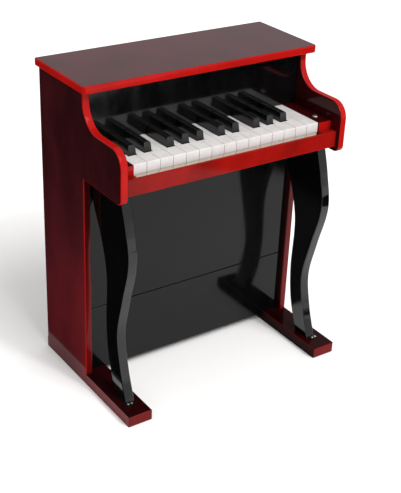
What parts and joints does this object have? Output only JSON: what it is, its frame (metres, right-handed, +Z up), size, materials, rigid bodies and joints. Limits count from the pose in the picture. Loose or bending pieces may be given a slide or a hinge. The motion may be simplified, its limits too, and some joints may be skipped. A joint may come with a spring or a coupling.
{
  "type": "upright piano",
  "caption": "Child's free-standing spinet piano: lacquered case on foot rails with curved legs, sprung keys on a common rod, and hammers under steel chime rods",
  "frame": {"origin": "middle of the footprint, on the floor", "axes": "+X from the bass side to the treble side, +Y from the player to the back, +Z up"},
  "size_m": [0.413, 0.264, 0.501],
  "materials": {
    "red_lacquer": "high-gloss translucent mahogany-red lacquer over wood board",
    "black_lacquer": "high-gloss black lacquer over wood board",
    "bare_wood": "unfinished sanded softwood and plywood",
    "back_board": "thin plywood back with satin black paint",
    "white_key": "moulded glossy white plastic cap on a plain wooden stick",
    "black_key": "moulded glossy black plastic cap on a plain wooden stick",
    "felt": "pressed wool felt",
    "spring_steel": "drawn steel rod",
    "screw_steel": "nickel-plated steel",
    "cast_bar": "painted cast iron"
  },
  "bodies": {
    "case": {"lid": "red_lacquer", "bass_side_panel": "red_lacquer", "treble_side_panel": "red_lacquer", "bass_foot_rail": "red_lacquer", "treble_foot_rail": "red_lacquer", "key_slip": "red_lacquer", "bass_key_block": "red_lacquer", "treble_key_block": "red_lacquer", "bass_leg": "black_lacquer", "treble_leg": "black_lacquer", "name_board": "black_lacquer", "knee_board": "black_lacquer", "kick_board": "black_lacquer", "key_bed": "black_lacquer", "panel_cleats": "bare_wood", "back_cleats": "bare_wood", "lid_cleats": "bare_wood", "balance_rail": "bare_wood", "rest_rail": "bare_wood", "sound_board": "bare_wood", "case_dowels": "bare_wood", "back_panel": "back_board", "key_rod": "spring_steel", "chime_rods": "spring_steel", "foot_screws": "screw_steel", "leg_screws": "screw_steel", "key_block_screws": "screw_steel", "panel_screws": "screw_steel", "back_panel_screws": "screw_steel", "chime_bar_screws": "screw_steel", "leg_plates": "screw_steel", "front_felt": "felt", "rest_felt": "felt", "chime_bar": "cast_bar"},
    "key_01": {"key_01_c": "white_key"},
    "key_02": {"key_02_c_sharp": "black_key"},
    "key_03": {"key_03_d": "white_key"},
    "key_04": {"key_04_d_sharp": "black_key"},
    "key_05": {"key_05_e": "white_key"},
    "key_06": {"key_06_f": "white_key"},
    "key_07": {"key_07_f_sharp": "black_key"},
    "key_08": {"key_08_g": "white_key"},
    "key_09": {"key_09_g_sharp": "black_key"},
    "key_10": {"key_10_a": "white_key"},
    "key_11": {"key_11_a_sharp": "black_key"},
    "key_12": {"key_12_b": "white_key"},
    "key_13": {"key_13_c": "white_key"},
    "key_14": {"key_14_c_sharp": "black_key"},
    "key_15": {"key_15_d": "white_key"},
    "key_16": {"key_16_d_sharp": "black_key"},
    "key_17": {"key_17_e": "white_key"},
    "key_18": {"key_18_f": "white_key"},
    "key_19": {"key_19_f_sharp": "black_key"},
    "key_20": {"key_20_g": "white_key"},
    "key_21": {"key_21_g_sharp": "black_key"},
    "key_22": {"key_22_a": "white_key"},
    "key_23": {"key_23_a_sharp": "black_key"},
    "key_24": {"key_24_b": "white_key"},
    "key_25": {"key_25_c": "white_key"}
  },
  "joints": [
    {"name": "key_01_press", "type": "hinge", "parent": "case", "child": "key_01", "pos_m": [0, 0.02, 0.386], "axis": [1, 0, 0], "range_deg": [0, 3.5], "stiffness_Nm_per_rad": 0.25, "springref_deg": -8.59},
    {"name": "key_02_press", "type": "hinge", "parent": "case", "child": "key_02", "pos_m": [0, 0.02, 0.386], "axis": [1, 0, 0], "range_deg": [0, 3.5], "stiffness_Nm_per_rad": 0.25, "springref_deg": -8.59},
    {"name": "key_03_press", "type": "hinge", "parent": "case", "child": "key_03", "pos_m": [0, 0.02, 0.386], "axis": [1, 0, 0], "range_deg": [0, 3.5], "stiffness_Nm_per_rad": 0.25, "springref_deg": -8.59},
    {"name": "key_04_press", "type": "hinge", "parent": "case", "child": "key_04", "pos_m": [0, 0.02, 0.386], "axis": [1, 0, 0], "range_deg": [0, 3.5], "stiffness_Nm_per_rad": 0.25, "springref_deg": -8.59},
    {"name": "key_05_press", "type": "hinge", "parent": "case", "child": "key_05", "pos_m": [0, 0.02, 0.386], "axis": [1, 0, 0], "range_deg": [0, 3.5], "stiffness_Nm_per_rad": 0.25, "springref_deg": -8.59},
    {"name": "key_06_press", "type": "hinge", "parent": "case", "child": "key_06", "pos_m": [0, 0.02, 0.386], "axis": [1, 0, 0], "range_deg": [0, 3.5], "stiffness_Nm_per_rad": 0.25, "springref_deg": -8.59},
    {"name": "key_07_press", "type": "hinge", "parent": "case", "child": "key_07", "pos_m": [0, 0.02, 0.386], "axis": [1, 0, 0], "range_deg": [0, 3.5], "stiffness_Nm_per_rad": 0.25, "springref_deg": -8.59},
    {"name": "key_08_press", "type": "hinge", "parent": "case", "child": "key_08", "pos_m": [0, 0.02, 0.386], "axis": [1, 0, 0], "range_deg": [0, 3.5], "stiffness_Nm_per_rad": 0.25, "springref_deg": -8.59},
    {"name": "key_09_press", "type": "hinge", "parent": "case", "child": "key_09", "pos_m": [0, 0.02, 0.386], "axis": [1, 0, 0], "range_deg": [0, 3.5], "stiffness_Nm_per_rad": 0.25, "springref_deg": -8.59},
    {"name": "key_10_press", "type": "hinge", "parent": "case", "child": "key_10", "pos_m": [0, 0.02, 0.386], "axis": [1, 0, 0], "range_deg": [0, 3.5], "stiffness_Nm_per_rad": 0.25, "springref_deg": -8.59},
    {"name": "key_11_press", "type": "hinge", "parent": "case", "child": "key_11", "pos_m": [0, 0.02, 0.386], "axis": [1, 0, 0], "range_deg": [0, 3.5], "stiffness_Nm_per_rad": 0.25, "springref_deg": -8.59},
    {"name": "key_12_press", "type": "hinge", "parent": "case", "child": "key_12", "pos_m": [0, 0.02, 0.386], "axis": [1, 0, 0], "range_deg": [0, 3.5], "stiffness_Nm_per_rad": 0.25, "springref_deg": -8.59},
    {"name": "key_13_press", "type": "hinge", "parent": "case", "child": "key_13", "pos_m": [0, 0.02, 0.386], "axis": [1, 0, 0], "range_deg": [0, 3.5], "stiffness_Nm_per_rad": 0.25, "springref_deg": -8.59},
    {"name": "key_14_press", "type": "hinge", "parent": "case", "child": "key_14", "pos_m": [0, 0.02, 0.386], "axis": [1, 0, 0], "range_deg": [0, 3.5], "stiffness_Nm_per_rad": 0.25, "springref_deg": -8.59},
    {"name": "key_15_press", "type": "hinge", "parent": "case", "child": "key_15", "pos_m": [0, 0.02, 0.386], "axis": [1, 0, 0], "range_deg": [0, 3.5], "stiffness_Nm_per_rad": 0.25, "springref_deg": -8.59},
    {"name": "key_16_press", "type": "hinge", "parent": "case", "child": "key_16", "pos_m": [0, 0.02, 0.386], "axis": [1, 0, 0], "range_deg": [0, 3.5], "stiffness_Nm_per_rad": 0.25, "springref_deg": -8.59},
    {"name": "key_17_press", "type": "hinge", "parent": "case", "child": "key_17", "pos_m": [0, 0.02, 0.386], "axis": [1, 0, 0], "range_deg": [0, 3.5], "stiffness_Nm_per_rad": 0.25, "springref_deg": -8.59},
    {"name": "key_18_press", "type": "hinge", "parent": "case", "child": "key_18", "pos_m": [0, 0.02, 0.386], "axis": [1, 0, 0], "range_deg": [0, 3.5], "stiffness_Nm_per_rad": 0.25, "springref_deg": -8.59},
    {"name": "key_19_press", "type": "hinge", "parent": "case", "child": "key_19", "pos_m": [0, 0.02, 0.386], "axis": [1, 0, 0], "range_deg": [0, 3.5], "stiffness_Nm_per_rad": 0.25, "springref_deg": -8.59},
    {"name": "key_20_press", "type": "hinge", "parent": "case", "child": "key_20", "pos_m": [0, 0.02, 0.386], "axis": [1, 0, 0], "range_deg": [0, 3.5], "stiffness_Nm_per_rad": 0.25, "springref_deg": -8.59},
    {"name": "key_21_press", "type": "hinge", "parent": "case", "child": "key_21", "pos_m": [0, 0.02, 0.386], "axis": [1, 0, 0], "range_deg": [0, 3.5], "stiffness_Nm_per_rad": 0.25, "springref_deg": -8.59},
    {"name": "key_22_press", "type": "hinge", "parent": "case", "child": "key_22", "pos_m": [0, 0.02, 0.386], "axis": [1, 0, 0], "range_deg": [0, 3.5], "stiffness_Nm_per_rad": 0.25, "springref_deg": -8.59},
    {"name": "key_23_press", "type": "hinge", "parent": "case", "child": "key_23", "pos_m": [0, 0.02, 0.386], "axis": [1, 0, 0], "range_deg": [0, 3.5], "stiffness_Nm_per_rad": 0.25, "springref_deg": -8.59},
    {"name": "key_24_press", "type": "hinge", "parent": "case", "child": "key_24", "pos_m": [0, 0.02, 0.386], "axis": [1, 0, 0], "range_deg": [0, 3.5], "stiffness_Nm_per_rad": 0.25, "springref_deg": -8.59},
    {"name": "key_25_press", "type": "hinge", "parent": "case", "child": "key_25", "pos_m": [0, 0.02, 0.386], "axis": [1, 0, 0], "range_deg": [0, 3.5], "stiffness_Nm_per_rad": 0.25, "springref_deg": -8.59}
  ]
}
